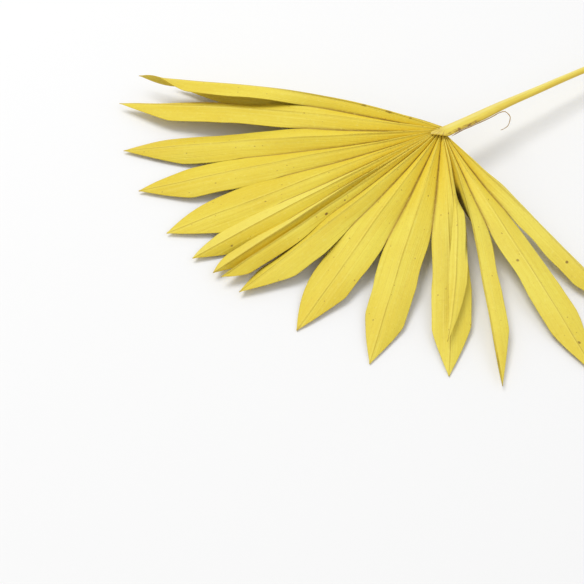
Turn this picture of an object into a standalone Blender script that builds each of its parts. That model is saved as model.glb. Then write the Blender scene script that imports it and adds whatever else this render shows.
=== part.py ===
"""Fan palm leaf, dried and dyed, trimmed into a pointed fan and laid on its tips.

The stalk points along +X, the blade spreads towards -X and -Y, and +Z is up.
The leaf rests on z = 0 on the tips of its fingers and on the cut end of the stalk.
Lengths are written in millimetres and turned into metres when the meshes are made.
"""
import math
from collections import namedtuple

import bpy
import numpy as np

MM = 0.001

# Middle of the leaf's outline, seen from above and measured from the hub: the origin.
MIDDLE_X = 52.1
MIDDLE_Y = -10.4

# --- the blade ---------------------------------------------------------------
SHEET_THICKNESS = 0.9
ROWS = 18
HUB_FOLD = 44.0
OPENING_RUN = 0.22
TIP_HALF_WIDTH = 0.9

# Where a finger leaves the end of the stalk, by its bearing: bearing, x, y, height.
COSTA = [
    (-61.5, 4.4, 4.4, 36.5),
    (-53.0, 1.6, 4.4, 36.5),
    (-36.0, -2.2, 4.2, 36.0),
    (-13.5, -4.8, 3.2, 35.5),
    (0.5, -5.2, 2.3, 35.2),
    (7.5, -4.0, 1.3, 35.0),
    (22.5, -1.7, 0.5, 34.9),
    (39.0, -0.4, -0.4, 34.8),
    (54.5, 0.8, -1.5, 34.7),
    (64.0, 1.2, -2.9, 34.6),
    (81.5, 1.8, -3.8, 34.6),
    (94.5, 2.0, -4.9, 34.6),
]

# One line for each finger, from the far edge of the fan round to the near edge.
# Bearings and droops are in degrees; "lean" shifts the sideways bow towards the hub;
# "joined" is how far out a finger stays joined to the next one.
Finger = namedtuple("Finger", (
    "name bearing length far_width near_width far_droop near_droop tip arch bow lean "
    "far_shoulder near_shoulder far_round near_round joined"))
FINGERS = [Finger(*line) for line in (
    ("Y3", -60.0, 190, 10.5, 10.5, 62, 56, 5.0, 0.0, -4.5, 1.2, 0.80, 0.80, 1.2, 1.2, 0.48),
    ("Y2", -57.6, 215, 11.0, 11.0, 62, 56, 5.0, 1.0, -5.0, 1.2, 0.80, 0.80, 1.2, 1.2, 0.48),
    ("Y1", -55.3, 240, 11.5, 11.5, 58, 52, 6.0, 4.0, -5.5, 1.2, 0.80, 0.80, 1.2, 1.2, 0.46),
    ("A", -53.0, 266, 13.0, 15.5, 62, -2, 16.0, 7.0, -5.5, 1.2, 0.80, 0.80, 1.2, 1.5, 0.40),
    ("B", -47.0, 274, 13.0, 16.5, 27, 13, 7.0, 3.0, -3.0, 0.0, 0.72, 0.82, 1.1, 1.2, 0.40),
    ("C", -36.0, 259, 15.5, 16.0, 20, 26, 3.0, 2.0, 0.0, 0.0, 0.84, 0.80, 1.8, 1.2, 0.62),
    ("D", -25.5, 245, 17.5, 16.5, 12, 14, 3.0, 1.0, 0.0, 0.0, 0.80, 0.82, 1.6, 1.2, 0.53),
    ("E", -13.5, 231, 18.0, 17.5, 6, 16, 3.0, 1.0, 0.0, 0.0, 0.80, 0.82, 1.8, 1.2, 0.60),
    ("F", -5.2, 222, 15.3, 13.5, 20, 40, 4.0, 2.5, 0.0, 0.0, 0.80, 0.84, 2.6, 1.2, 0.62),
    ("G", 0.8, 216.5, 12.3, 12.5, 26, 66, 7.0, 2.0, 0.0, 0.0, 0.84, 0.84, 2.8, 1.2, 0.66),
    ("H", 3.0, 214.5, 12.5, 11.0, 68, 26, 9.5, 0.0, 0.0, 0.0, 0.84, 0.90, 1.2, 1.4, 0.50),
    ("I", 7.7, 211, 14.0, 17.0, 42, 14, 5.3, 2.0, 3.5, 0.0, 0.86, 0.80, 1.6, 1.2, 0.515),
    ("J", 22.5, 207, 18.5, 16.0, 12, 10, 1.2, 1.0, 0.0, 0.0, 0.74, 0.79, 2.0, 1.2, 0.5),
    ("K", 39.0, 211, 15.5, 16.8, 14, 12, 1.2, 1.0, 0.0, 0.0, 0.80, 0.82, 1.3, 1.2, 0.41),
    ("L", 54.5, 212, 14.0, 16.5, 12, 12, 1.2, 1.0, 3.0, 0.0, 0.82, 0.80, 1.3, 1.2, 0.30),
    ("L2", 54.2, 189, 5.5, 8.6, 10, 12, 9.0, 3.0, 9.0, 0.0, 0.74, 0.74, 1.2, 1.5, 0.22),
    ("M", 64.0, 224, 12.0, 13.5, 118, 10, 4.0, 3.0, 4.0, 0.8, 0.45, 0.80, 1.2, 1.2, 0.38),
    ("N", 81.5, 236, 13.0, 16.0, 12, 15, 1.2, 1.0, 0.0, 0.0, 0.80, 0.76, 1.2, 1.3, 0.385),
    ("O", 94.5, 196, 13.0, 12.0, 24, 48, 6.5, 2.0, 2.0, 0.0, 0.82, 0.82, 1.2, 1.2, 1.0),
)]

# --- the stalk ---------------------------------------------------------------
# place along x, sideways shift and height of the centre, width, thickness
STALK_SECTIONS = [
    (-8.6, 2.2, 36.3, 1.0, 0.5),
    (-7.6, 1.9, 36.5, 3.0, 0.9),
    (-5.5, 0.9, 36.9, 6.0, 1.6),
    (-2.5, -0.9, 37.2, 9.0, 2.4),
    (1.0, -2.5, 37.2, 11.2, 3.2),
    (5.0, -2.8, 36.9, 11.0, 3.9),
    (14.0, -2.7, 36.4, 10.2, 4.4),
    (32.0, -2.7, 35.2, 10.2, 4.9),
    (45.0, -2.3, 34.1, 9.9, 5.0),
    (60.0, -1.5, 32.8, 8.8, 5.0),
    (80.0, -0.9, 31.3, 7.6, 5.0),
    (95.0, -0.7, 30.2, 7.2, 4.9),
    (125.0, -0.2, 27.6, 6.3, 4.7),
    (153.0, 0.3, 24.9, 6.0, 4.6),
    (180.0, 0.6, 22.2, 5.9, 4.6),
    (225.0, 0.7, 16.8, 5.8, 4.5),
    (270.0, 0.5, 10.8, 5.8, 4.5),
    (310.0, 0.2, 5.2, 5.9, 4.6),
    (329.0, 0.0, 2.45, 6.1, 4.8),
]
STALK_SIDES = 14

# --- the loose fibre ---------------------------------------------------------
FIBRE_THICKNESS = 0.8
FIBRE_POINTS = [
    (4.0, -9.1, 35.9),
    (14.0, -8.6, 36.0),
    (24.0, -8.55, 35.3),
    (35.0, -8.55, 34.6),
    (46.0, -8.1, 33.8),
    (55.0, -7.2, 33.1),
    (59.5, -9.0, 33.6),
    (58.8, -15.5, 34.3),
    (55.6, -19.4, 34.0),
    (51.1, -22.4, 33.0),
    (46.1, -22.6, 32.0),
    (44.1, -21.8, 31.6),
]

NAME = "fan_palm_leaf"


def smooth(value):
    x = np.clip(value, 0.0, 1.0)
    return x * x * (3.0 - 2.0 * x)


def half_width(width, shoulder, rounding, t):
    """Half of a finger's width: it swells to its shoulder, then is cut to a point."""
    swell = np.clip(t / 0.66, 0.0, 1.0) ** 0.8
    waist = 1.0 - 0.06 * smooth((t - 0.66) / 0.3)
    cut = 1.0 - np.clip((t - shoulder) / (1.0 - shoulder), 0.0, 1.0) ** rounding
    return np.maximum(width * swell * waist * cut, TIP_HALF_WIDTH)


def ridge(finger, t):
    """The fold line along the top of a finger, from the stalk to the tip."""
    a = math.radians(finger.bearing)
    out = np.array([-math.cos(a), -math.sin(a), 0.0])
    across = np.array([math.sin(a), -math.cos(a), 0.0])
    bearings, *start = zip(*COSTA)
    start = np.array([np.interp(finger.bearing, bearings, values) for values in start])
    bow = finger.bow * 4.0 * t * (1.0 - t) * (1.0 + finger.lean * (1.0 - 2.0 * t))
    line = np.outer(1.0 - t, start) + np.outer(t, out * finger.length) + np.outer(bow, across)
    line[:, 2] += finger.tip * t + finger.arch * np.sin(math.pi * t)
    if finger.name == "L2":
        line[:, 2] += 2.5 * smooth((t - 0.25) / 0.2)
    return line


def free_edge(finger, t, side):
    """The margin of a finger where it hangs on its own."""
    a = math.radians(finger.bearing)
    across = np.array([math.sin(a), -math.cos(a), 0.0])
    if side < 0:
        w = half_width(finger.far_width, finger.far_shoulder, finger.far_round, t)
        droop = math.radians(finger.far_droop)
    else:
        w = half_width(finger.near_width, finger.near_shoulder, finger.near_round, t)
        droop = math.radians(finger.near_droop)
    sheet = side * across * math.cos(droop) + np.array([0.0, 0.0, -math.sin(droop)])
    return ridge(finger, t) + np.outer(w, sheet)


def valley(left, right, t):
    """The fold between two fingers that are still joined."""
    a = ridge(left, t)
    b = ridge(right, t)
    half_gap = 0.5 * np.linalg.norm((b - a)[:, :2], axis=1)
    droop = min(max(0.5 * (left.near_droop + right.far_droop), 14.0), 70.0)
    steep = np.clip(1.0 - t / max(left.joined, 0.2), 0.0, 1.0) ** 1.2
    angle = np.radians(droop + (max(HUB_FOLD, droop) - droop) * steep)
    share = left.near_width / (left.near_width + right.far_width)
    fold = a * (1.0 - share) + b * share
    fold[:, 2] -= half_gap * np.tan(angle)
    return fold


def build_sheet():
    """Every finger as a folded strip, sharing the valley points where joined."""
    rows = np.linspace(0.0, 1.0, ROWS)
    points = []
    faces = []
    previous = None
    for index, finger in enumerate(FINGERS):
        columns = []
        for side in (-1, 0, 1):
            if side == 0:
                line = ridge(finger, rows)
            else:
                line = free_edge(finger, rows, side)
            other = index + side
            if side != 0 and 0 <= other < len(FINGERS):
                pair = (FINGERS[other], finger) if side < 0 else (finger, FINGERS[other])
                fold = valley(pair[0], pair[1], rows)
                apart = smooth((rows - pair[0].joined) / OPENING_RUN)[:, None]
                line = fold * (1.0 - apart) + line * apart
            columns.append(line)
        split = FINGERS[index - 1].joined if index else 0.0
        ids = np.zeros((3, ROWS), dtype=int)
        for column in range(3):
            for row in range(ROWS):
                joined = column == 0 and previous is not None and rows[row] <= split + 1e-9
                if joined:
                    ids[column, row] = previous[row]
                else:
                    ids[column, row] = len(points)
                    points.append(columns[column][row])
        for column in range(2):
            for row in range(ROWS - 1):
                faces.append((
                    int(ids[column, row]),
                    int(ids[column, row + 1]),
                    int(ids[column + 1, row + 1]),
                    int(ids[column + 1, row]),
                ))
        previous = ids[2]
    return points, faces


def placed(point):
    """A place measured from the hub in millimetres, as metres from the origin."""
    x, y, z = (float(value) for value in point)
    return ((x - MIDDLE_X) * MM, (y - MIDDLE_Y) * MM, z * MM)


def mesh_object(name, points, faces, material, collection):
    mesh = bpy.data.meshes.new(name)
    mesh.from_pydata([placed(point) for point in points], [], faces)
    mesh.validate()
    mesh.update()
    obj = bpy.data.objects.new(name, mesh)
    obj.data.materials.append(material)
    collection.objects.link(obj)
    return obj


def plain_material(name, colour, roughness):
    material = bpy.data.materials.new(name)
    material.use_nodes = True
    shader = material.node_tree.nodes["Principled BSDF"]
    shader.inputs["Base Color"].default_value = (*colour, 1.0)
    shader.inputs["Roughness"].default_value = roughness
    shader.inputs["Metallic"].default_value = 0.0
    material.diffuse_color = (*colour, 1.0)
    return material


def make_blade(collection):
    material = plain_material("dyed palm blade", (0.78, 0.60, 0.16), 0.55)
    points, faces = build_sheet()
    blade = mesh_object("blade", points, faces, material, collection)
    solid = blade.modifiers.new("leaf thickness", "SOLIDIFY")
    solid.thickness = SHEET_THICKNESS * MM
    solid.offset = -1.0
    solid.use_even_offset = False
    solid.use_rim = True
    return blade


def make_stalk(collection):
    """The stalk lofted through its sections, flat tongue at one end, cut at the other."""
    material = plain_material("dyed palm stalk", (0.72, 0.55, 0.17), 0.5)
    points = []
    faces = []
    for x, middle, height, width, thick in STALK_SECTIONS:
        for side in range(STALK_SIDES):
            turn = 2.0 * math.pi * side / STALK_SIDES
            y = middle + 0.5 * width * math.cos(turn)
            z = 0.5 * thick * math.sin(turn)
            points.append((x, y, height + z))
    for ring in range(len(STALK_SECTIONS) - 1):
        for side in range(STALK_SIDES):
            nxt = (side + 1) % STALK_SIDES
            a = ring * STALK_SIDES + side
            b = ring * STALK_SIDES + nxt
            faces.append((a, b, b + STALK_SIDES, a + STALK_SIDES))
    last = (len(STALK_SECTIONS) - 1) * STALK_SIDES
    faces.append(tuple(reversed(range(STALK_SIDES))))
    faces.append(tuple(last + side for side in range(STALK_SIDES)))
    return mesh_object("petiole", points, faces, material, collection)


def make_fibre(collection):
    """A stiff thread that has peeled off the edge of the stalk and curls away."""
    material = plain_material("brown palm fibre", (0.36, 0.20, 0.07), 0.6)
    curve = bpy.data.curves.new("fibre", "CURVE")
    curve.dimensions = "3D"
    curve.bevel_depth = 0.5 * FIBRE_THICKNESS * MM
    curve.bevel_resolution = 2
    curve.use_fill_caps = True
    spline = curve.splines.new("POLY")
    line = rounded(FIBRE_POINTS, 4)
    spline.points.add(len(line) - 1)
    for point, place in zip(spline.points, line):
        point.co = (*placed(place), 1.0)
    fibre = bpy.data.objects.new("fibre", curve)
    fibre.data.materials.append(material)
    collection.objects.link(fibre)
    return fibre


def rounded(points, steps):
    """A smooth line through the given places."""
    places = np.array(points, dtype=float)
    padded = np.vstack([2 * places[0] - places[1], places, 2 * places[-1] - places[-2]])
    line = []
    for index in range(1, len(padded) - 2):
        p0, p1, p2, p3 = padded[index - 1:index + 3]
        for step in range(steps):
            u = step / steps
            line.append(0.5 * (
                2 * p1
                + (p2 - p0) * u
                + (2 * p0 - 5 * p1 + 4 * p2 - p3) * u ** 2
                + (3 * p1 - p0 - 3 * p2 + p3) * u ** 3
            ))
    line.append(places[-1])
    return line


def main():
    for obj in list(bpy.data.objects):
        bpy.data.objects.remove(obj, do_unlink=True)
    collection = bpy.data.collections.new(NAME)
    bpy.context.scene.collection.children.link(collection)
    make_blade(collection)
    make_stalk(collection)
    make_fibre(collection)


main()
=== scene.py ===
import math
from collections import namedtuple

import bpy
import numpy as np
from mathutils import Matrix


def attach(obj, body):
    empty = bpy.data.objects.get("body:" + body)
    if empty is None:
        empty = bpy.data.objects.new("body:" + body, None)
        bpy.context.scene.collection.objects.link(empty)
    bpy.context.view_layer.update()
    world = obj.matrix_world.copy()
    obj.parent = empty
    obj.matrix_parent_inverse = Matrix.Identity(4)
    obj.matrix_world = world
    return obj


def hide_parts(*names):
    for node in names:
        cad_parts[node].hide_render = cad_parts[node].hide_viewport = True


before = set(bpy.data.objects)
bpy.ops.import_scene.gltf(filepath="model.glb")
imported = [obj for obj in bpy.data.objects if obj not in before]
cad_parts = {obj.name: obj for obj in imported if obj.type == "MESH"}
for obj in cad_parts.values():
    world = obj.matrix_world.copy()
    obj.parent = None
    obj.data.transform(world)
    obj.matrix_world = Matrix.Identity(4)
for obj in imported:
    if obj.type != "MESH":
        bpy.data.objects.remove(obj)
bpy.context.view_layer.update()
MM = 0.001

# ---------------------------------------------------------------- the leaf's measures
# The same plan as the CAD part: millimetres from the hub, the stalk along +X. Here the
# far-side folds start up to 0.9 mm, and the fibre lies about 0.2 mm, closer to the stalk.
MIDDLE_X = 52.1
MIDDLE_Y = -10.4
OPENING_RUN = 0.22
HUB_FOLD = 62.0
TIP_HALF_WIDTH = 0.35

COSTA = [
    (-61.5, 4.4, 3.5, 36.5),
    (-53.0, 1.6, 3.8, 36.5),
    (-36.0, -2.2, 3.9, 36.0),
    (-13.5, -4.8, 3.2, 35.5),
    (0.5, -5.2, 2.3, 35.2),
    (7.5, -4.0, 1.3, 35.0),
    (22.5, -1.7, 0.5, 34.9),
    (39.0, -0.4, -0.4, 34.8),
    (54.5, 0.8, -1.5, 34.7),
    (64.0, 1.2, -2.9, 34.6),
    (81.5, 1.8, -3.8, 34.6),
    (94.5, 2.0, -4.9, 34.6),
]

# One line for each finger, from the far edge of the fan round to the near edge.
# Bearings and droops are in degrees; "lean" shifts the sideways bow towards the hub;
# "joined" is how far out a finger stays joined to the next one.
Finger = namedtuple("Finger", (
    "name bearing length far_width near_width far_droop near_droop tip arch bow lean "
    "far_shoulder near_shoulder far_round near_round joined"))
FINGERS = [Finger(*line) for line in (
    ("Y3", -60.0, 190, 10.5, 10.5, 62, 56, 5.0, 0.0, -4.5, 1.2, 0.80, 0.80, 1.2, 1.2, 0.48),
    ("Y2", -57.6, 215, 11.0, 11.0, 62, 56, 5.0, 1.0, -5.0, 1.2, 0.80, 0.80, 1.2, 1.2, 0.48),
    ("Y1", -55.3, 240, 11.5, 11.5, 58, 52, 6.0, 4.0, -5.5, 1.2, 0.80, 0.80, 1.2, 1.2, 0.46),
    ("A", -53.0, 266, 13.0, 15.5, 62, -2, 16.0, 7.0, -5.5, 1.2, 0.80, 0.80, 1.2, 1.5, 0.40),
    ("B", -47.0, 274, 13.0, 16.5, 27, 13, 7.0, 3.0, -3.0, 0.0, 0.72, 0.82, 1.1, 1.2, 0.40),
    ("C", -36.0, 259, 15.5, 16.0, 20, 26, 3.0, 2.0, 0.0, 0.0, 0.84, 0.80, 1.8, 1.2, 0.62),
    ("D", -25.5, 245, 17.5, 16.5, 12, 14, 3.0, 1.0, 0.0, 0.0, 0.80, 0.82, 1.6, 1.2, 0.53),
    ("E", -13.5, 231, 18.0, 17.5, 6, 16, 3.0, 1.0, 0.0, 0.0, 0.80, 0.82, 1.8, 1.2, 0.60),
    ("F", -5.2, 222, 15.3, 13.5, 20, 40, 4.0, 2.5, 0.0, 0.0, 0.80, 0.84, 2.6, 1.2, 0.62),
    ("G", 0.8, 216.5, 12.3, 12.5, 26, 66, 7.0, 2.0, 0.0, 0.0, 0.84, 0.84, 2.8, 1.2, 0.66),
    ("H", 3.0, 214.5, 12.5, 11.0, 68, 26, 9.5, 0.0, 0.0, 0.0, 0.84, 0.90, 1.2, 1.4, 0.50),
    ("I", 7.7, 211, 14.0, 17.0, 42, 14, 5.3, 2.0, 3.5, 0.0, 0.86, 0.80, 1.6, 1.2, 0.515),
    ("J", 22.5, 207, 18.5, 16.0, 12, 10, 1.2, 1.0, 0.0, 0.0, 0.74, 0.79, 2.0, 1.2, 0.5),
    ("K", 39.0, 211, 15.5, 16.8, 14, 12, 1.2, 1.0, 0.0, 0.0, 0.80, 0.82, 1.3, 1.2, 0.41),
    ("L", 54.5, 212, 14.0, 16.5, 12, 12, 1.2, 1.0, 3.0, 0.0, 0.82, 0.80, 1.3, 1.2, 0.30),
    ("L2", 54.2, 189, 5.5, 8.6, 10, 12, 9.0, 3.0, 9.0, 0.0, 0.74, 0.74, 1.2, 1.5, 0.22),
    ("M", 64.0, 224, 12.0, 13.5, 118, 10, 4.0, 3.0, 4.0, 0.8, 0.45, 0.80, 1.2, 1.2, 0.38),
    ("N", 81.5, 236, 13.0, 16.0, 12, 15, 1.2, 1.0, 0.0, 0.0, 0.80, 0.76, 1.2, 1.3, 0.385),
    ("O", 94.5, 196, 13.0, 12.0, 24, 48, 6.5, 2.0, 2.0, 0.0, 0.82, 0.82, 1.2, 1.2, 1.0),
)]
NUMBER = {finger.name: index for index, finger in enumerate(FINGERS)}

ROWS = 92
HALF_COLUMNS = [0.02, 0.055, 0.11, 0.19, 0.29, 0.40, 0.51, 0.62, 0.73, 0.83, 0.91, 0.965, 1.0]
THICKNESS = 0.42

# place along x, sideways shift and height of the centre, width, thickness
STALK_SECTIONS = [
    (-8.6, 2.2, 36.3, 1.0, 0.5),
    (-7.6, 1.9, 36.5, 3.0, 0.9),
    (-5.5, 0.9, 36.9, 6.0, 1.6),
    (-2.5, -0.9, 37.2, 9.0, 2.4),
    (1.0, -2.5, 37.2, 11.2, 3.2),
    (5.0, -2.8, 36.9, 11.0, 3.9),
    (14.0, -2.7, 36.4, 10.2, 4.4),
    (32.0, -2.7, 35.2, 10.2, 4.9),
    (45.0, -2.3, 34.1, 9.9, 5.0),
    (60.0, -1.5, 32.8, 8.8, 5.0),
    (80.0, -0.9, 31.3, 7.6, 5.0),
    (95.0, -0.7, 30.2, 7.2, 4.9),
    (125.0, -0.2, 27.6, 6.3, 4.7),
    (153.0, 0.3, 24.9, 6.0, 4.6),
    (180.0, 0.6, 22.2, 5.9, 4.6),
    (225.0, 0.7, 16.8, 5.8, 4.5),
    (270.0, 0.5, 10.8, 5.8, 4.5),
    (310.0, 0.2, 5.2, 5.9, 4.6),
    (329.0, 0.0, 2.45, 6.1, 4.8),
]
FIBRE_POINTS = [
    (4.0, -8.9, 35.9),
    (14.0, -8.36, 36.0),
    (24.0, -8.3, 35.3),
    (35.0, -8.3, 34.6),
    (46.0, -7.9, 33.8),
    (55.0, -7.05, 33.1),
    (59.5, -9.0, 33.6),
    (58.8, -15.5, 34.3),
    (55.6, -19.4, 34.0),
    (51.1, -22.4, 33.0),
    (46.1, -22.6, 32.0),
    (44.1, -21.8, 31.6),
]


def placed(points):
    """Places measured from the hub in millimetres, as metres from the origin."""
    return (np.asarray(points, float) - (MIDDLE_X, MIDDLE_Y, 0.0)) * MM


def smooth(value):
    x = np.clip(value, 0.0, 1.0)
    return x * x * (3.0 - 2.0 * x)


def wander(t, seed, beats=(1.3, 2.7, 5.1), weights=(1.0, 0.55, 0.3)):
    """A slow, repeatable wobble between about -1 and 1."""
    rng = np.random.default_rng(seed + 1000)
    total = np.zeros_like(t)
    for beat, weight in zip(beats, weights):
        total += weight * np.sin(2 * math.pi * (beat * t + rng.random()))
    return total / sum(weights)


# ---------------------------------------------------------------- the blade
def half_width(width, shoulder, rounding, t, seed):
    swell = np.clip(t / 0.66, 0.0, 1.0) ** 0.8
    waist = 1.0 - 0.06 * smooth((t - 0.66) / 0.3)
    cut = 1.0 - np.clip((t - shoulder) / (1.0 - shoulder), 0.0, 1.0) ** rounding
    uneven = 1.0 + 0.012 * wander(t, seed, (3.0, 7.0, 13.0))
    return np.maximum(width * swell * waist * cut * uneven, TIP_HALF_WIDTH)


def ridge(finger, t):
    """The fold line along the top of a finger, from the stalk to the tip."""
    a = math.radians(finger.bearing)
    out = np.array([-math.cos(a), -math.sin(a), 0.0])
    across = np.array([math.sin(a), -math.cos(a), 0.0])
    bearings, *start = zip(*COSTA)
    start = np.array([np.interp(finger.bearing, bearings, values) for values in start])
    number = NUMBER[finger.name]
    calm = smooth(t / 0.3) * (1.0 - smooth((t - 0.8) / 0.2))
    bow = finger.bow * 4.0 * t * (1.0 - t) * (1.0 + finger.lean * (1.0 - 2.0 * t))
    bow = bow + 0.5 * wander(t, 40 + number) * calm
    line = np.outer(1.0 - t, start) + np.outer(t, out * finger.length) + np.outer(bow, across)
    line[:, 2] += finger.tip * t + finger.arch * np.sin(math.pi * t)
    line[:, 2] += 0.35 * wander(t, 70 + number) * calm
    if finger.name == "L2":
        line[:, 2] += 2.5 * smooth((t - 0.25) / 0.2)
    return line


def roll(finger, t):
    """How far a finger twists about its own midrib towards its tip, in degrees."""
    if finger.name == "A":
        return -70.0 * smooth((t - 0.80) / 0.2)
    return 4.0 * wander(t, 90 + NUMBER[finger.name]) * smooth((t - 0.5) / 0.5)


def free_edge(finger, t, side):
    """The margin of a finger where it hangs on its own."""
    a = math.radians(finger.bearing)
    across = np.array([math.sin(a), -math.cos(a), 0.0])
    seed = 10 * NUMBER[finger.name] + side
    if side < 0:
        w = half_width(finger.far_width, finger.far_shoulder, finger.far_round, t, seed)
        droop = np.radians(finger.far_droop - roll(finger, t))
    else:
        w = half_width(finger.near_width, finger.near_shoulder, finger.near_round, t, seed)
        droop = np.radians(finger.near_droop + roll(finger, t))
    sheet = np.outer(side * np.cos(droop), across) - np.outer(np.sin(droop), (0.0, 0.0, 1.0))
    return ridge(finger, t) + sheet * w[:, None]


def valley(left, right, t):
    """The fold between two fingers that are still joined."""
    a = ridge(left, t)
    b = ridge(right, t)
    half_gap = 0.5 * np.linalg.norm((b - a)[:, :2], axis=1)
    droop = min(max(0.5 * (left.near_droop + right.far_droop), 14.0), 70.0)
    steep = np.clip(1.0 - t / max(left.joined, 0.2), 0.0, 1.0)
    angle = np.radians(droop + (max(HUB_FOLD, droop) - droop) * steep)
    share = left.near_width / (left.near_width + right.far_width)
    fold = a * (1.0 - share) + b * share
    fold[:, 2] -= half_gap * np.tan(angle)
    return fold


def edge_line(index, side, t):
    """The line at one side of a finger, and how far it has come free of its neighbour."""
    finger = FINGERS[index]
    line = free_edge(finger, t, side)
    other = index + side
    if not 0 <= other < len(FINGERS):
        return line, np.ones_like(t)
    pair = (FINGERS[other], finger) if side < 0 else (finger, FINGERS[other])
    apart = smooth((t - pair[0].joined) / OPENING_RUN)
    fold = valley(pair[0], pair[1], t)
    return fold * (1.0 - apart)[:, None] + line * apart[:, None], apart


def unit(vectors):
    return vectors / np.maximum(np.linalg.norm(vectors, axis=-1, keepdims=True), 1e-9)


def finger_surface(index, t):
    """The top face of one finger as rows by columns, with the facts its colours need."""
    finger = FINGERS[index]
    middle = ridge(finger, t)
    along = unit(np.gradient(middle, axis=0))
    halves = {}
    for side in (-1, 1):
        line, apart = edge_line(index, side, t)
        span = line - middle
        width = np.linalg.norm(span, axis=1)
        normal = np.cross(along, span) if side > 0 else np.cross(span, along)
        halves[side] = (span, width, unit(normal), apart)
    crest = unit(halves[-1][2] + halves[1][2])
    columns = []
    facts = []
    order = [(-1, s) for s in reversed(HALF_COLUMNS)] + [(0, 0.0)] + [(1, s) for s in HALF_COLUMNS]
    for side, s in order:
        span, width, normal, apart = halves[side if side else 1]
        d = s * width
        near = smooth(d / 2.0)[:, None]
        way = unit(crest * (1.0 - near) + normal * near)
        seed = 200 + 2 * index + (1 if side > 0 else 0)
        full = 0.035 * (1.0 + 0.9 * wander(t, seed, (0.9, 2.1, 3.7)))
        rib = 0.34 * np.exp(-(d / 0.5) ** 2) - 0.20 * np.exp(-((d - 1.3) / 0.6) ** 2)
        flutter = 0.9 * wander(t, seed + 500, (1.7, 3.4, 6.3)) * apart
        flutter = flutter * (1.0 - smooth((t - 0.86) / 0.14))
        second = 0.30 * wander(t, seed + 900, (0.7, 1.9, 4.0)) * np.sin(3.0 * math.pi * s)
        lift = full * width * 4.0 * s * (1.0 - s)
        lift = lift + rib * np.clip(width / 6.0, 0.0, 1.0) * (1.0 - s * s)
        lift = lift + flutter * s * s
        lift = lift + second * np.clip(width / 14.0, 0.0, 1.0) * (1.0 - s)
        columns.append(middle + span * s + way * lift[:, None])
        margin = (1.0 - s) * width + 20.0 * (1.0 - apart)
        facts.append(np.stack([side * d, t * finger.length, margin, (1.0 - apart) * s ** 3], 1))
    return np.stack(columns, 1), np.stack(facts, 1)


def build_blade():
    t = np.linspace(0.0, 1.0, ROWS + 1)
    wide = 2 * len(HALF_COLUMNS) + 1
    points = []
    quads = []
    corners = []
    previous = None
    for index in range(len(FINGERS)):
        surface, facts = finger_surface(index, t)
        ids = np.zeros((ROWS + 1, wide), int)
        split = FINGERS[index - 1].joined if index else -1.0
        for row in range(ROWS + 1):
            for column in range(wide):
                if column == 0 and previous is not None and t[row] <= split + 1e-9:
                    ids[row, 0] = previous[row]
                else:
                    ids[row, column] = len(points)
                    points.append(surface[row, column])
        for row in range(ROWS):
            for column in range(wide - 1):
                spots = [(row, column), (row + 1, column), (row + 1, column + 1), (row, column + 1)]
                quads.append([ids[spot] for spot in spots])
                corners.append([(*facts[spot], index, t[spot[0]]) for spot in spots])
        previous = ids[:, -1]
    return np.array(points), np.array(quads), np.array(corners)


def vertex_normals(points, quads):
    p = points[quads]
    normal = np.cross(p[:, 2] - p[:, 0], p[:, 3] - p[:, 1])
    total = np.zeros_like(points)
    for corner in range(4):
        np.add.at(total, quads[:, corner], normal)
    return unit(total)


def close_sheet(points, quads, corners):
    """Gives the open sheet its thickness, with a rib under each midrib and closed edges."""
    normals = vertex_normals(points, quads)
    across = np.full(len(points), 9.0)
    for corner in range(4):
        np.minimum.at(across, quads[:, corner], np.abs(corners[:, corner, 0]))
    margin = np.full(len(points), 20.0)
    for corner in range(4):
        np.minimum.at(margin, quads[:, corner], corners[:, corner, 2])
    distance = np.zeros(len(points))
    for corner in range(4):
        np.maximum.at(distance, quads[:, corner], corners[:, corner, 1])
    rib = 0.55 * np.exp(-(across / 0.8) ** 2) * smooth(distance / 40.0) * smooth(margin / 3.0)
    deep = THICKNESS + rib - 0.12 * np.exp(-(margin / 0.5) ** 2)
    count = len(points)
    below = points - normals * deep[:, None]
    under = quads[:, ::-1] + count
    under_corners = corners[:, ::-1]
    edges = {}
    for q in range(len(quads)):
        for corner in range(4):
            a, b = quads[q, corner], quads[q, (corner + 1) % 4]
            if (b, a) in edges:
                del edges[(b, a)]
            else:
                edges[(a, b)] = (q, corner)
    rim = []
    rim_corners = []
    for (a, b), (q, corner) in edges.items():
        first = corners[q, corner]
        second = corners[q, (corner + 1) % 4]
        rim.append([b, a, a + count, b + count])
        rim_corners.append([second, first, first, second])
    faces = np.vstack([quads, under, np.array(rim)])
    data = np.vstack([corners, under_corners, np.array(rim_corners)])
    kind = np.concatenate([
        np.zeros(len(quads)), np.ones(len(quads)), np.full(len(rim), 0.5)])
    return np.vstack([points, below]), faces, data, kind


def corner_attribute(mesh, name, values):
    attribute = mesh.attributes.new(name, "FLOAT_VECTOR", "CORNER")
    attribute.data.foreach_set("vector", np.asarray(values, np.float32).ravel())


def mesh_piece(name, points, faces):
    mesh = bpy.data.meshes.new(name)
    mesh.from_pydata(placed(points).tolist(), [], [list(map(int, face)) for face in faces])
    mesh.update()
    piece = bpy.data.objects.new(name, mesh)
    bpy.context.scene.collection.objects.link(piece)
    mesh.polygons.foreach_set("use_smooth", np.ones(len(mesh.polygons), bool))
    return piece


# Half of the width in mm that fills a finger's strip of the texture map.
UV_HALF_WIDTH = 17.6


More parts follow.
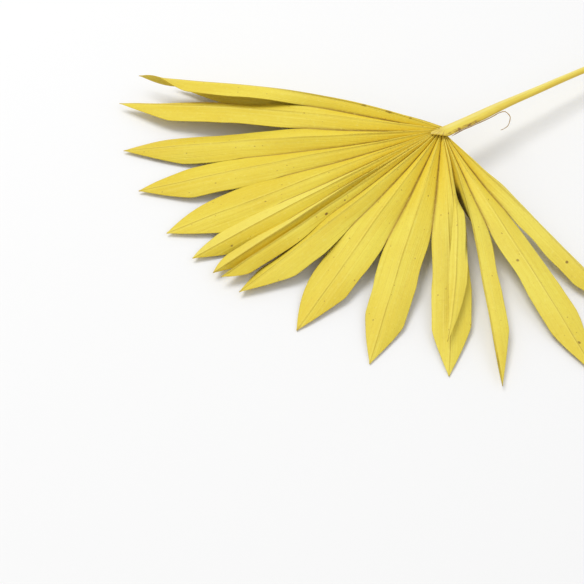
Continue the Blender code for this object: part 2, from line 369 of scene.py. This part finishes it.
def make_blade():
    points, faces, data, kind = close_sheet(*build_blade())
    piece = mesh_piece("palm_blade", points, faces)
    mesh = piece.data
    data = data.reshape(-1, 6)
    side = np.repeat(kind, 4)
    corner_attribute(mesh, "leaf_place", data[:, [0, 1, 4]])
    corner_attribute(mesh, "leaf_edge", np.stack([data[:, 2], data[:, 3], side], 1))
    corner_attribute(mesh, "leaf_reach", np.stack([data[:, 5], data[:, 5], data[:, 5]], 1))
    u = (data[:, 4] + 0.5 + 0.45 * np.clip(data[:, 0] / UV_HALF_WIDTH, -1.0, 1.0)) / len(FINGERS)
    v = 0.01 + 0.475 * data[:, 5] + 0.5 * (side == 1.0)
    rim = side == 0.5
    order = np.tile([0, 0, 1, 1], len(data) // 4)
    u = u + np.where(rim, np.sign(data[:, 0]) * 0.0015 * (0.4 + order), 0.0)
    layer = mesh.uv_layers.new(name="OFBake")
    layer.data.foreach_set("uv", np.stack([u, v], 1).astype(np.float32).ravel())
    return piece


# ---------------------------------------------------------------- node helpers
class Graph:
    """Short names for building one material's nodes."""

    def __init__(self, name):
        self.material = bpy.data.materials.new(name)
        self.material.use_nodes = True
        self.tree = self.material.node_tree
        self.shader = self.tree.nodes["Principled BSDF"]

    def add(self, kind, **settings):
        node = self.tree.nodes.new(kind)
        for key, value in settings.items():
            setattr(node, key, value)
        return node

    def plug(self, node, name, value):
        socket = node.inputs[name]
        if isinstance(value, bpy.types.NodeSocket):
            self.tree.links.new(value, socket)
        else:
            socket.default_value = value

    def math(self, operation, a, b=0.0, c=0.0, clamp=False):
        node = self.add("ShaderNodeMath", operation=operation, use_clamp=clamp)
        self.plug(node, 0, a)
        self.plug(node, 1, b)
        self.plug(node, 2, c)
        return node.outputs[0]

    def ramp(self, value, low, high, start=0.0, end=1.0, smoothed=True):
        node = self.add("ShaderNodeMapRange")
        node.interpolation_type = "SMOOTHSTEP" if smoothed else "LINEAR"
        node.clamp = True
        self.plug(node, "Value", value)
        self.plug(node, "From Min", low)
        self.plug(node, "From Max", high)
        self.plug(node, "To Min", start)
        self.plug(node, "To Max", end)
        return node.outputs[0]

    def mix(self, factor, a, b, blend="MIX"):
        node = self.add("ShaderNodeMix", data_type="RGBA", blend_type=blend)
        self.plug(node, 0, factor)
        self.plug(node, 6, a if isinstance(a, bpy.types.NodeSocket) else (*a, 1.0))
        self.plug(node, 7, b if isinstance(b, bpy.types.NodeSocket) else (*b, 1.0))
        return node.outputs[2]

    def vector(self, x, y, z):
        node = self.add("ShaderNodeCombineXYZ")
        self.plug(node, 0, x)
        self.plug(node, 1, y)
        self.plug(node, 2, z)
        return node.outputs[0]

    def split(self, vector):
        node = self.add("ShaderNodeSeparateXYZ")
        self.plug(node, 0, vector)
        return node.outputs[0], node.outputs[1], node.outputs[2]

    def stretched(self, place, by_x, by_y, by_z):
        """A place, as its three parts, with each part scaled."""
        x, y, z = place
        x = self.math("MULTIPLY", x, by_x)
        y = self.math("MULTIPLY", y, by_y)
        z = self.math("MULTIPLY", z, by_z)
        return self.vector(x, y, z)

    def span(self, a, b):
        """How far two offsets at right angles reach together."""
        squares = self.math("ADD", self.math("MULTIPLY", a, a), self.math("MULTIPLY", b, b))
        return self.math("SQRT", squares)

    def on_finger(self, finger, name):
        """1 on the finger of that name and 0 on the others."""
        return self.math("COMPARE", finger, float(NUMBER[name]), 0.3)

    def noise(self, vector, scale, detail=3.0, roughness=0.55, distortion=0.0):
        node = self.add("ShaderNodeTexNoise")
        self.plug(node, "Vector", vector)
        self.plug(node, "Scale", scale)
        self.plug(node, "Detail", detail)
        self.plug(node, "Roughness", roughness)
        self.plug(node, "Distortion", distortion)
        return node.outputs["Fac"]

    def attribute(self, name):
        return self.add("ShaderNodeAttribute", attribute_name=name).outputs["Vector"]

    def bump(self, height, distance, strength=1.0, normal=None):
        node = self.add("ShaderNodeBump")
        self.plug(node, "Height", height)
        self.plug(node, "Distance", distance)
        self.plug(node, "Strength", strength)
        if normal is not None:
            self.plug(node, "Normal", normal)
        return node.outputs[0]


# finger, distance along it, distance across it, length and width of the mark, depth
MARKS = [
    ("F", 190.0, 6.0, 1.3, 1.0, 0.75),
    ("N", 127.0, -5.5, 1.2, 1.0, 0.7),
    ("N", 205.0, 1.5, 1.6, 1.2, 0.75),
    ("O", 145.0, -5.0, 1.5, 1.2, 0.8),
    ("H", 116.0, 5.2, 1.5, 1.1, 0.95),
    ("H", 97.0, 4.2, 1.0, 0.8, 0.75),
    ("E", 150.0, 5.0, 1.0, 0.8, 0.6),
    ("K", 176.0, -7.0, 0.9, 0.7, 0.55),
    ("D", 120.0, 8.0, 0.9, 0.7, 0.5),
    ("J", 120.0, -9.0, 0.9, 0.8, 0.5),
    ("C", 205.0, 7.0, 0.8, 0.7, 0.5),
    ("B", 240.0, -3.0, 1.0, 0.8, 0.5),
    ("A", 44.0, 1.0, 4.0, 0.8, 0.75),
    ("A", 66.0, 0.9, 3.0, 0.7, 0.65),
    ("A", 25.0, 0.8, 2.0, 0.7, 0.6),
    ("J", 62.0, 3.0, 0.9, 0.8, 0.6),
    ("K", 60.0, 5.0, 0.8, 0.6, 0.5),
    ("N", 70.0, 2.5, 0.9, 0.7, 0.6),
    ("M", 60.0, 6.0, 0.8, 0.7, 0.5),
    ("I", 170.0, -4.0, 0.9, 0.8, 0.5),
]


def blade_material():
    g = Graph("dyed palm blade")
    across, along, finger = g.split(g.attribute("leaf_place"))
    edge, fold, side = g.split(g.attribute("leaf_edge"))
    reach = g.split(g.attribute("leaf_reach"))[0]
    beyond = g.math("MULTIPLY", finger, 37.0)
    under = g.math("GREATER_THAN", side, 0.75)

    # The blade's own dye, in slow patches, then in streaks along the veins.
    patches = g.noise(g.vector(across, g.math("MULTIPLY", along, 0.35), beyond), 0.045, 3.0)
    streaks = g.noise(g.vector(across, g.math("MULTIPLY", along, 0.012), beyond), 0.9, 4.0, 0.6)
    veins = g.noise(g.vector(across, g.math("MULTIPLY", along, 0.004), beyond), 3.4, 2.0, 0.5)
    colour = g.mix(g.ramp(patches, 0.35, 0.68), (0.790, 0.660, 0.072), (0.745, 0.575, 0.045))
    colour = g.mix(g.ramp(streaks, 0.52, 0.75, 0.0, 0.45), colour, (0.660, 0.470, 0.035))
    colour = g.mix(g.ramp(streaks, 0.46, 0.25, 0.0, 0.45), colour, (0.830, 0.725, 0.125))
    colour = g.mix(g.ramp(veins, 0.54, 0.70, 0.0, 0.50), colour, (0.620, 0.430, 0.035))

    # The dye took more deeply on one side of the fan than on the other.
    colour = g.mix(g.ramp(finger, 10.5, 4.0, 0.0, 0.28, False), colour, (0.790, 0.610, 0.030))
    colour = g.mix(g.ramp(finger, 10.5, 15.0, 0.0, 0.34, False), colour, (0.845, 0.745, 0.130))

    # Fingers F and G get a painted highlight on their far halves and painted shade on their near
    # ones, as their steep folds face towards or away from the lamp.
    painted_light_fingers = g.math("COMPARE", finger, NUMBER["F"] + 0.5, 0.6)
    painted_highlight_half = g.math("MULTIPLY", painted_light_fingers, g.ramp(across, 0.3, -0.3))
    painted_shade_half = g.math("MULTIPLY", painted_light_fingers, g.ramp(across, -0.3, 0.3))
    colour = g.mix(g.math("MULTIPLY", painted_highlight_half, 0.55), colour, (0.870, 0.775, 0.170))
    colour = g.mix(g.math("MULTIPLY", painted_shade_half, 0.35), colour, (0.745, 0.560, 0.028))

    # A warmer, more golden tint where the pleats crowd together near the stalk: painted warm light,
    # as bounced between the yellow folds.
    painted_bounce_warmth = g.math("MULTIPLY", g.ramp(reach, 0.46, 0.04), 0.62)
    colour = g.mix(painted_bounce_warmth, colour, (0.850, 0.610, 0.028))

    # A deeper dye towards the tips and a little paler beside the midrib.
    per_finger = g.noise(g.vector(beyond, 0.0, 0.0), 0.13, 0.0)
    deep = g.math("MULTIPLY", g.ramp(reach, 0.62, 1.0), g.ramp(per_finger, 0.3, 0.7, 0.15, 0.6))
    colour = g.mix(deep, colour, (0.730, 0.530, 0.030))
    distance = g.math("ABSOLUTE", across)
    beside = g.math("MULTIPLY", g.ramp(distance, 2.4, 0.6), g.ramp(distance, 0.25, 0.6))
    colour = g.mix(g.math("MULTIPLY", beside, 0.30), colour, (0.840, 0.730, 0.140))

    # The midrib: a thin brown line that comes and goes along the finger.
    comes = g.noise(g.vector(beyond, along, 3.0), 0.05, 3.0)
    line = g.math("MULTIPLY", g.ramp(distance, 0.55, 0.18), g.ramp(comes, 0.30, 0.62, 0.35, 1.0))
    line = g.math("MULTIPLY", line, g.ramp(reach, 0.15, 0.5, 0.0, 1.0))
    colour = g.mix(g.math("MULTIPLY", line, 0.55), colour, (0.430, 0.290, 0.030))

    # Near the stalk the folds' crests get a painted highlight instead: pale lines where the light
    # catches them.
    crest = g.math("MULTIPLY", g.ramp(distance, 0.75, 0.2), g.ramp(reach, 0.42, 0.12))
    colour = g.mix(g.math("MULTIPLY", crest, 0.72), colour, (0.930, 0.750, 0.110))

    # Painted shade: dark brown in the folds near the hub, where the pleats shade each other, and
    # darker still along each fold line.
    painted_fold_shade = g.math("MULTIPLY", g.ramp(fold, 0.40, 0.95), g.ramp(reach, 0.62, 0.10))
    ragged = g.noise(g.vector(g.math("MULTIPLY", along, 0.15), beyond, across), 1.2, 3.0)
    painted_fold_shade = g.math("MULTIPLY", painted_fold_shade, g.ramp(ragged, 0.25, 0.6, 0.45, 1.0))
    colour = g.mix(g.math("MULTIPLY", painted_fold_shade, 0.95), colour, (0.200, 0.085, 0.010))
    painted_crease_shade = g.math("MULTIPLY", g.ramp(fold, 0.78, 1.0), 0.75)
    colour = g.mix(painted_crease_shade, colour, (0.350, 0.185, 0.022))

    # The long tear beside finger M: near-black painted shade on M's far half and L2's near edge,
    # standing for the dark gap through the tear.
    painted_gap_shade_on_m = g.math("MULTIPLY", g.on_finger(finger, "M"), g.ramp(across, -3.4, -5.6))
    painted_gap_shade_on_l2 = g.math("MULTIPLY", g.on_finger(finger, "L2"), g.ramp(across, 5.4, 7.0))
    painted_tear_shade = g.math("MULTIPLY", g.math("MAXIMUM", painted_gap_shade_on_m, painted_gap_shade_on_l2), g.ramp(along, 44.0, 58.0))
    painted_tear_shade = g.math("MULTIPLY", painted_tear_shade, g.ramp(along, 125.0, 105.0))
    colour = g.mix(g.math("MULTIPLY", painted_tear_shade, 0.9), colour, (0.060, 0.028, 0.008))

    # Browned, dry cut edges.
    nibbled = g.noise(g.vector(across, along, beyond), 0.30, 3.0)
    dry = g.math("MULTIPLY", g.ramp(edge, 0.75, 0.1), g.ramp(nibbled, 0.40, 0.7, 0.0, 0.45))
    colour = g.mix(dry, colour, (0.520, 0.340, 0.045))
    tip = g.math("MULTIPLY", g.ramp(reach, 0.965, 1.0), g.ramp(per_finger, 0.35, 0.65, 0.0, 0.4))
    colour = g.mix(tip, colour, (0.420, 0.240, 0.045))

    # Specks: small brown dots, thinly strewn.
    place = g.vector(g.math("ADD", across, beyond), g.math("MULTIPLY", along, 0.7), under)
    cells = g.add("ShaderNodeTexVoronoi", feature="F1")
    g.plug(cells, "Vector", place)
    g.plug(cells, "Scale", 0.33)
    g.plug(cells, "Randomness", 1.0)
    size = g.split(cells.outputs["Color"])[0]
    small = g.ramp(size, 0.80, 1.0, 0.03, 0.19, False)
    dots = g.math("LESS_THAN", cells.outputs["Distance"], small)
    colour = g.mix(g.math("MULTIPLY", dots, 0.60), colour, (0.360, 0.200, 0.030))
    fine = g.add("ShaderNodeTexVoronoi", feature="F1")
    g.plug(fine, "Vector", place)
    g.plug(fine, "Scale", 0.55)
    fine_size = g.split(fine.outputs["Color"])[1]
    fine_reach = g.ramp(fine_size, 0.7, 1.0, 0.0, 0.12, False)
    fine_dots = g.math("LESS_THAN", fine.outputs["Distance"], fine_reach)
    colour = g.mix(g.math("MULTIPLY", fine_dots, 0.30), colour, (0.450, 0.270, 0.040))

    # Faint mottling, as in any dried leaf.
    mottle = g.noise(place, 0.42, 5.0, 0.7)
    colour = g.mix(g.ramp(mottle, 0.53, 0.72, 0.0, 0.42), colour, (0.640, 0.450, 0.060))
    colour = g.mix(g.ramp(mottle, 0.46, 0.30, 0.0, 0.34), colour, (0.860, 0.760, 0.190))

    # The larger marks, each on its own finger.
    ragged_mark = g.math("MULTIPLY", g.math("SUBTRACT", nibbled, 0.5), 2.2)
    marks = None
    for name, far, off, length, width, depth in MARKS:
        dx = g.math("DIVIDE", g.math("SUBTRACT", across, off), width)
        dy = g.math("DIVIDE", g.math("SUBTRACT", along, far), length)
        span = g.math("ADD", g.span(dx, dy), ragged_mark)
        there = g.on_finger(finger, name)
        mark = g.math("MULTIPLY", g.ramp(span, 1.15, 0.45, 0.0, depth), there)
        marks = mark if marks is None else g.math("MAXIMUM", marks, mark)
    colour = g.mix(marks, colour, (0.200, 0.095, 0.022))

    # The underside is a little duller and paler.
    colour = g.mix(g.math("MULTIPLY", under, 0.30), colour, (0.680, 0.500, 0.080))
    g.plug(g.shader, "Base Color", colour)

    rough = g.ramp(streaks, 0.3, 0.7, 0.46, 0.60, False)
    rough = g.math("ADD", rough, g.math("MULTIPLY", dry, 0.2))
    g.plug(g.shader, "Roughness", rough)
    g.plug(g.shader, "Specular IOR Level", 0.30)

    # Veins, then the faint cross-ripple of a dried leaf.
    groove = g.noise(g.vector(across, g.math("MULTIPLY", along, 0.003), beyond), 1.9, 2.0, 0.5)
    ripple_place = g.vector(g.math("MULTIPLY", across, 0.5), g.math("MULTIPLY", along, 1.4), beyond)
    ripple = g.noise(ripple_place, 0.45, 3.0)
    normal = g.bump(groove, 0.00045, 0.8)
    normal = g.bump(veins, 0.00012, 0.8, normal)
    normal = g.bump(ripple, 0.00022, 0.5, normal)
    g.plug(g.shader, "Normal", normal)
    return g.material


# ---------------------------------------------------------------- the stalk
STALK_STEPS = 150
STALK_AROUND = 40
# A little under half of the thickness, so that the stalk stays inside the CAD part.
STALK_HALF_DEPTH = 0.475
# How far the stalk sways sideways, and the length that it sways over, in mm.
SWAY = 0.5
SWAY_LENGTH = 339.0
# The rings that fill the cut end: share of its size, and how far each is sunk in, in mm.
END_RINGS = ((0.93, 0.0), (0.6, 0.06), (0.3, 0.04))
# Dark knots on the stalk: where, how large in mm, and how strong.
STALK_KNOTS = (((12.8, -7.2), 1.5, 0.85), ((-0.6, 2.2), 0.9, 0.7), ((30.0, -6.9), 1.1, 0.6))


def stalk_line(steps):
    """Smooth sections between the stated ones, as x, shift, height, width and thickness."""
    sections = np.array(STALK_SECTIONS, float)
    place = np.concatenate([[0.0], np.cumsum(np.abs(np.diff(sections[:, 0])) + 0.5)])
    ask = np.linspace(0.0, 1.0, steps) ** 1.6 * place[-1]
    out = np.zeros((steps, 5))
    slope = np.gradient(sections, place, axis=0)
    for row, s in enumerate(ask):
        k = min(int(np.searchsorted(place, s, side="right")) - 1, len(place) - 2)
        h = place[k + 1] - place[k]
        u = (s - place[k]) / h
        a = 2 * u ** 3 - 3 * u ** 2 + 1
        b = u ** 3 - 2 * u ** 2 + u
        c = -2 * u ** 3 + 3 * u ** 2
        d = u ** 3 - u ** 2
        out[row] = a * sections[k] + b * h * slope[k] + c * sections[k + 1] + d * h * slope[k + 1]
    return out


def make_stalk():
    """A closed bar through the smooth sections, with a sunken, ringed cut end."""
    steps = STALK_STEPS
    around = STALK_AROUND
    rows = stalk_line(steps)
    turn = np.linspace(0.0, 2.0 * math.pi, around, endpoint=False)
    c = np.cos(turn)
    s = np.sin(turn)
    points = []
    # How far along the stalk a point is, and 1 on the cut end.
    data = []
    sides = []
    for x, middle, height, width, thick in rows:
        y = middle + 0.5 * width * c
        z = STALK_HALF_DEPTH * thick * s
        flat = 1.0 - 0.10 * smooth((x - 8.0) / 30.0) * np.exp(-(c / 0.55) ** 2) * (s > 0)
        ridges = 1.0 + 0.012 * np.sin(turn * 9.0 + 0.01 * x) + 0.008 * np.sin(turn * 17.0 + 1.3)
        fade = smooth((x + 6.0) / 14.0)
        scale = 1.0 + (ridges - 1.0) * fade
        sway = SWAY * wander(np.array([x / SWAY_LENGTH]), 5)[0] * smooth(x / 60.0)
        sway *= 1.0 - smooth((x - 280.0) / 45.0)
        for k in range(around):
            off = middle + sway + (y[k] - middle) * scale[k]
            points.append((x, off, height + z[k] * flat[k] * scale[k]))
            data.append((x, 0.0, 0.0))
            sides.append((c[k], s[k], 0.0))
    faces = []
    for row in range(steps - 1):
        for k in range(around):
            n = (k + 1) % around
            a, b = row * around + k, row * around + n
            faces.append([a, b, b + around, a + around])
    faces.append(list(reversed(range(around))))
    last = (steps - 1) * around
    end = rows[-1]
    for ring, (shrink, inset) in enumerate(END_RINGS):
        base = len(points)
        for k in range(around):
            x, y, z = points[last + k]
            off = end[1] + (y - end[1]) * shrink
            points.append((end[0] - inset, off, end[2] + (z - end[2]) * shrink))
            data.append((end[0], 0.0, 1.0))
            sides.append((0.0, 0.0, 0.0))
        start = last if ring == 0 else base - around
        for k in range(around):
            n = (k + 1) % around
            faces.append([start + k, start + n, base + n, base + k])
    faces.append([len(points) - around + k for k in range(around)])
    piece = mesh_piece("palm_stalk", points, faces)
    mesh = piece.data
    attribute = mesh.attributes.new("stalk_place", "FLOAT_VECTOR", "POINT")
    attribute.data.foreach_set("vector", np.asarray(data, np.float32).ravel())
    attribute = mesh.attributes.new("stalk_side", "FLOAT_VECTOR", "POINT")
    attribute.data.foreach_set("vector", np.asarray(sides, np.float32).ravel())
    for polygon in mesh.polygons:
        if len(polygon.vertices) > 4:
            polygon.use_smooth = False
    return piece


def stalk_material():
    g = Graph("dyed palm stalk")
    place = g.split(g.add("ShaderNodeTexCoord").outputs["Object"])
    x, y, z = place
    far = g.split(g.attribute("stalk_place"))[0]
    cut = g.split(g.attribute("stalk_place"))[2]
    grain = g.noise(g.stretched(place, 18.0, 1000.0, 1000.0), 1.1, 4.0, 0.6)
    slow = g.noise(g.stretched(place, 40.0, 160.0, 160.0), 0.8, 3.0)
    colour = g.mix(g.ramp(slow, 0.35, 0.7), (0.790, 0.650, 0.090), (0.740, 0.560, 0.055))
    colour = g.mix(g.ramp(grain, 0.50, 0.72, 0.0, 0.5), colour, (0.600, 0.400, 0.055))
    colour = g.mix(g.ramp(grain, 0.42, 0.25, 0.0, 0.5), colour, (0.850, 0.735, 0.170))
    # Bruises and a rough brown edge near the hub, on the side that the fibre peeled from.
    low = g.math("MULTIPLY", g.ramp(y, 0.0049, 0.0036), g.ramp(far, 38.0, 26.0))
    torn = g.noise(g.stretched(place, 260.0, 900.0, 900.0), 1.0, 4.0, 0.65)
    low = g.math("MULTIPLY", low, g.ramp(torn, 0.40, 0.60))
    bruise = g.noise(g.stretched(place, 90.0, 400.0, 400.0), 0.7, 4.0, 0.6)
    colour = g.mix(g.ramp(bruise, 0.66, 0.80, 0.0, 0.45), colour, (0.500, 0.300, 0.060))
    fleck = g.noise(g.stretched(place, 700.0, 900.0, 900.0), 0.9, 1.0)
    colour = g.mix(g.ramp(fleck, 0.76, 0.82, 0.0, 0.6), colour, (0.360, 0.200, 0.050))
    # Painted highlight along the top of its far side, and painted shade along the near side, as on
    # a round bar lit from above and behind.
    off, height = g.split(g.attribute("stalk_side"))[:2]
    pale = g.math("MULTIPLY", g.ramp(height, 0.45, 0.95), g.ramp(off, -0.25, 0.35))
    colour = g.mix(g.math("MULTIPLY", pale, 0.55), colour, (0.880, 0.780, 0.270))
    deep = g.math("MULTIPLY", g.ramp(off, -0.35, -0.95), 0.60)
    colour = g.mix(deep, colour, (0.680, 0.450, 0.028))
    colour = g.mix(g.math("MULTIPLY", low, 0.90), colour, (0.270, 0.120, 0.016))
    # The stalk's end spreads into the folds, so their brown lines run a little way up it.
    hub = placed([3.0, -1.2, 0.0])
    dx = g.math("SUBTRACT", x, float(hub[0]))
    dy = g.math("SUBTRACT", y, float(hub[1]))
    bearing = g.math("ARCTAN2", dy, dx)
    rays = g.noise(g.vector(g.math("MULTIPLY", bearing, 9.0), 0.3, 0.7), 1.0, 2.0, 0.6)
    end = g.ramp(far, 9.0, -5.0)
    colour = g.mix(g.math("MULTIPLY", end, 0.80), colour, (0.710, 0.530, 0.040))
    rays = g.math("MULTIPLY", g.ramp(rays, 0.50, 0.66), g.ramp(far, 4.0, -3.0))
    colour = g.mix(g.math("MULTIPLY", rays, 0.80), colour, (0.330, 0.160, 0.018))
    ragged = g.math("MULTIPLY", g.math("SUBTRACT", torn, 0.5), 2.0)
    for spot, reach, strength in STALK_KNOTS:
        middle = placed([spot[0], spot[1], 0.0])
        dx = g.math("SUBTRACT", x, float(middle[0]))
        dy = g.math("SUBTRACT", y, float(middle[1]))
        span = g.math("ADD", g.math("MULTIPLY", g.span(dx, dy), 1000.0 / reach), ragged)
        colour = g.mix(g.ramp(span, 1.2, 0.4, 0.0, strength), colour, (0.260, 0.120, 0.035))
    pith_place = g.vector(0.0, g.math("MULTIPLY", y, 1000.0), g.math("MULTIPLY", z, 1000.0))
    pores = g.add("ShaderNodeTexVoronoi", feature="F1")
    g.plug(pores, "Vector", pith_place)
    g.plug(pores, "Scale", 2.4)
    pore = g.ramp(pores.outputs["Distance"], 0.20, 0.36)
    pith = g.mix(pore, (0.240, 0.130, 0.045), (0.660, 0.500, 0.240))
    colour = g.mix(cut, colour, pith)
    g.plug(g.shader, "Base Color", colour)
    g.plug(g.shader, "Roughness", g.ramp(grain, 0.3, 0.7, 0.34, 0.50, False))
    g.plug(g.shader, "Specular IOR Level", 0.5)
    normal = g.bump(grain, 0.00022, 0.7)
    normal = g.bump(torn, 0.0005, g.math("MULTIPLY", low, 0.9), normal)
    normal = g.bump(slow, 0.0006, 0.5, normal)
    g.plug(g.shader, "Normal", normal)
    return g.material


# ---------------------------------------------------------------- the loose fibre
# The fibre tapers from its root to its tip, in mm.
FIBRE_ROOT = 0.85
FIBRE_TIP = 0.5


def through(points, steps):
    """A smooth line through the points, with that many steps from each to the next."""
    places = np.array(points, dtype=float)
    padded = np.vstack([2 * places[0] - places[1], places, 2 * places[-1] - places[-2]])
    line = []
    for index in range(1, len(padded) - 2):
        p0, p1, p2, p3 = padded[index - 1:index + 3]
        for step in range(steps):
            u = step / steps
            line.append(0.5 * (
                2 * p1
                + (p2 - p0) * u
                + (2 * p0 - 5 * p1 + 4 * p2 - p3) * u ** 2
                + (3 * p1 - p0 - 3 * p2 + p3) * u ** 3
            ))
    line.append(places[-1])
    return np.array(line)


def make_thread(name, points, thick, thin, around=10, flat=0.75):
    """A tapering, slightly flattened thread along a smooth line."""
    line = through(points, 8)
    along = unit(np.gradient(line, axis=0))
    side = unit(np.cross(along, (0.0, 0.0, 1.0)))
    up = np.cross(side, along)
    s = np.linspace(0.0, 1.0, len(line))
    uneven = 1.0 + 0.12 * wander(s, 31, (9.0, 17.0, 29.0))
    radius = 0.5 * (thick + (thin - thick) * s ** 1.4) * uneven
    radius = radius * np.minimum(1.0, 0.35 + 14.0 * np.minimum(s, 1.0 - s))
    verts = []
    for row in range(len(line)):
        for k in range(around):
            turn = 2.0 * math.pi * k / around
            sideways = side[row] * math.cos(turn) * radius[row]
            upward = up[row] * math.sin(turn) * radius[row] * flat
            verts.append(line[row] + (sideways + upward))
    faces = []
    for row in range(len(line) - 1):
        for k in range(around):
            n = (k + 1) % around
            a, b = row * around + k, row * around + n
            faces.append([a, a + around, b + around, b])
    faces.append(list(range(around)))
    faces.append(list(reversed(range((len(line) - 1) * around, len(line) * around))))
    return mesh_piece(name, verts, faces)


def fibre_material():
    g = Graph("brown palm fibre")
    place = g.add("ShaderNodeTexCoord").outputs["Object"]
    coarse = g.noise(place, 260.0, 3.0)
    fine = g.noise(place, 1500.0, 2.0)
    colour = g.mix(g.ramp(coarse, 0.35, 0.65), (0.400, 0.235, 0.025), (0.250, 0.130, 0.012))
    colour = g.mix(g.ramp(fine, 0.5, 0.75, 0.0, 0.5), colour, (0.500, 0.340, 0.070))
    g.plug(g.shader, "Base Color", colour)
    g.plug(g.shader, "Roughness", g.ramp(fine, 0.3, 0.7, 0.55, 0.75, False))
    g.plug(g.shader, "Specular IOR Level", 0.2)
    g.plug(g.shader, "Normal", g.bump(fine, 0.0001, 0.6))
    return g.material


# ---------------------------------------------------------------- stage, light, camera
# Metres, in the frame's own axes.
FLOOR_REACH = 4.0
FLOOR_HEIGHT = -0.0002
FLOOR_WHITE = 0.85

# Which way the camera looks, in degrees, and where the hub lies from it, in metres.
CAMERA_TURN = 56.5
CAMERA_PITCH = 52.0
CAMERA_LENS = 72.0
SENSOR_WIDTH = 36.0
HUB_HEIGHT = 36.5
HUB_RIGHT = 0.11915
HUB_UP = 0.12875
HUB_AHEAD = 0.934

# Where each lamp stands from the middle of the blade as the camera sees it, in metres.
Lamp = namedtuple("Lamp", "name right ahead above size power")
LAMPS = (
    Lamp("key", -1.1, 0.8, 3.1, 1.9, 60.0),
    Lamp("fill", 2.2, -1.2, 2.6, 2.4, 10.0),
)
LIT_PLACE = (-0.08, 0.0, 0.0)
WORLD_LIGHT = 0.635


def make_floor():
    mesh = bpy.data.meshes.new("floor")
    r = FLOOR_REACH
    corners = ((-r, -r), (r, -r), (r, r), (-r, r))
    mesh.from_pydata([(x, y, FLOOR_HEIGHT) for x, y in corners], [], [(0, 1, 2, 3)])
    floor = bpy.data.objects.new("floor", mesh)
    bpy.context.scene.collection.objects.link(floor)
    g = Graph("pale floor")
    g.plug(g.shader, "Base Color", (FLOOR_WHITE, FLOOR_WHITE, FLOOR_WHITE, 1.0))
    g.plug(g.shader, "Roughness", 0.85)
    g.plug(g.shader, "Specular IOR Level", 0.2)
    mesh.materials.append(g.material)


def area_light(name, place, target, size, power):
    """A white disc lamp at place, facing target."""
    data = bpy.data.lights.new(name, "AREA")
    data.shape = "DISK"
    data.size = size
    data.energy = power
    lamp = bpy.data.objects.new(name, data)
    bpy.context.scene.collection.objects.link(lamp)
    lamp.location = place
    back = unit(np.array(place, float) - np.array(target, float))
    side = unit(np.cross((0.0, 0.0, 1.0), back))
    up = np.cross(back, side)
    lamp.rotation_mode = "QUATERNION"
    lamp.rotation_quaternion = matrix_of(side, up, back).to_quaternion()


def matrix_of(right, up, back):
    return Matrix((
        (right[0], up[0], back[0]),
        (right[1], up[1], back[1]),
        (right[2], up[2], back[2]),
    ))


def make_camera():
    """Looks down at the leaf from its near side, the stalk running off to the upper right."""
    turn = math.radians(CAMERA_TURN)
    pitch = math.radians(CAMERA_PITCH)
    forward = np.array([
        math.cos(turn) * math.cos(pitch), math.sin(turn) * math.cos(pitch), -math.sin(pitch)])
    right = np.array([math.sin(turn), -math.cos(turn), 0.0])
    up = np.cross(right, forward)
    hub = placed([0.0, 0.0, HUB_HEIGHT])
    place = hub - right * HUB_RIGHT - up * HUB_UP - forward * HUB_AHEAD
    data = bpy.data.cameras.new("camera")
    data.sensor_width = SENSOR_WIDTH
    data.lens = CAMERA_LENS
    data.clip_start = 0.05
    data.clip_end = 30.0
    camera = bpy.data.objects.new("camera", data)
    bpy.context.scene.collection.objects.link(camera)
    camera.location = place
    camera.rotation_mode = "QUATERNION"
    camera.rotation_quaternion = matrix_of(right, up, -forward).to_quaternion()
    bpy.context.scene.camera = camera
    return right, forward


def make_light(right, forward):
    ahead = unit(np.array([forward[0], forward[1], 0.0]))
    centre = np.array(LIT_PLACE)
    above = np.array([0.0, 0.0, 1.0])
    for lamp in LAMPS:
        place = centre + right * lamp.right + ahead * lamp.ahead + above * lamp.above
        area_light(lamp.name, place, centre, lamp.size, lamp.power)
    world = bpy.data.worlds.new("white studio")
    bpy.context.scene.world = world
    world.use_nodes = True
    back = world.node_tree.nodes["Background"]
    back.inputs["Color"].default_value = (1.0, 1.0, 1.0, 1.0)
    back.inputs["Strength"].default_value = WORLD_LIGHT
    bpy.context.scene.view_settings.view_transform = "Standard"
    bpy.context.scene.view_settings.look = "None"
    bpy.context.scene.view_settings.exposure = 0.0
    bpy.context.scene.view_settings.gamma = 1.0


def finish_piece(piece, material, node):
    piece.data.materials.append(material)
    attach(piece, "root")
    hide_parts(node)


right, forward = make_camera()
finish_piece(make_blade(), blade_material(), "blade")
finish_piece(make_stalk(), stalk_material(), "petiole")
thread = make_thread("palm_fibre", FIBRE_POINTS, FIBRE_ROOT, FIBRE_TIP)
finish_piece(thread, fibre_material(), "fibre")
make_floor()
make_light(right, forward)
